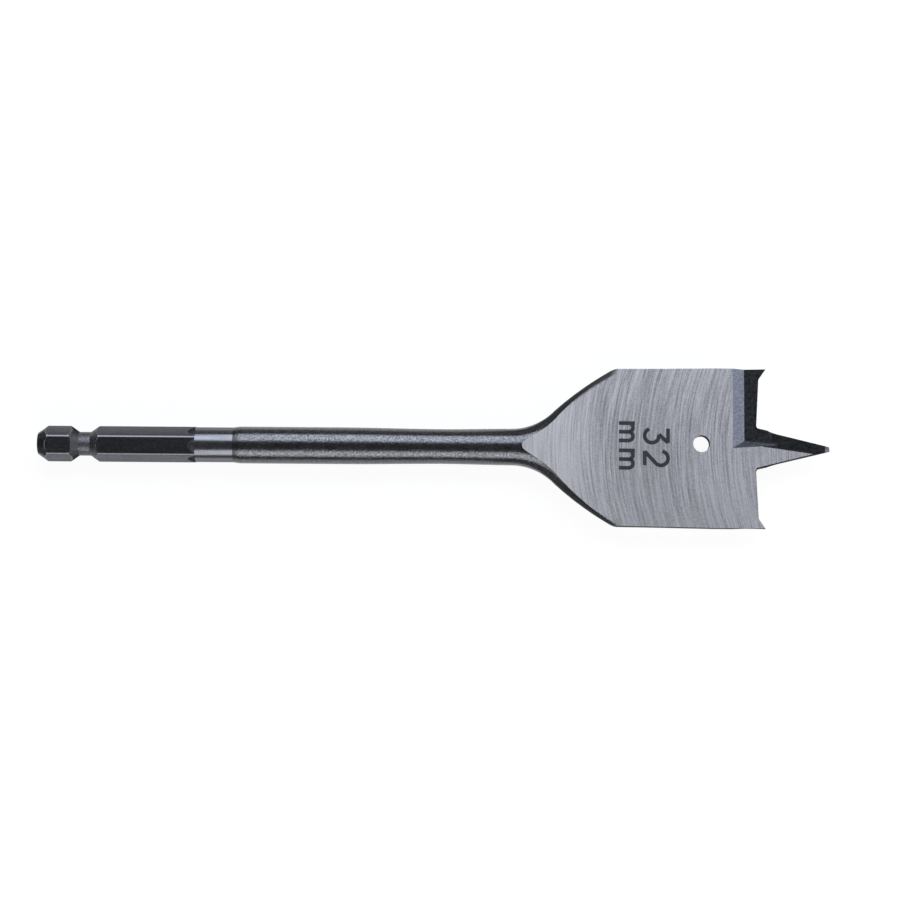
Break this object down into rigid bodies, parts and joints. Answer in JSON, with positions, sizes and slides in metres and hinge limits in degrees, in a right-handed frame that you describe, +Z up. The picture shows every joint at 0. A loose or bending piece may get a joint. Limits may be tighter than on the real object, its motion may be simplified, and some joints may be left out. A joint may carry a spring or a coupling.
{
  "type": "spade drill bit",
  "caption": "Flat steel spade bit for boring wood: hex quick-change shank, round forged shaft, ground blade with cutting lips, corner spurs and a centre point.",
  "frame": {"origin": "middle of the length, on the axis seen from above, at the height of the surface that the bit lies on", "axes": "+X along the axis towards the point, +Y across the blade, +Z up from the blade's upper face"},
  "size_m": [0.158, 0.032, 0.0074],
  "materials": {
    "tool_steel": "dark forged shank and shaft, ground blade"
  },
  "bodies": {
    "root": {"spade_bit": "tool_steel"}
  },
  "joints": []
}
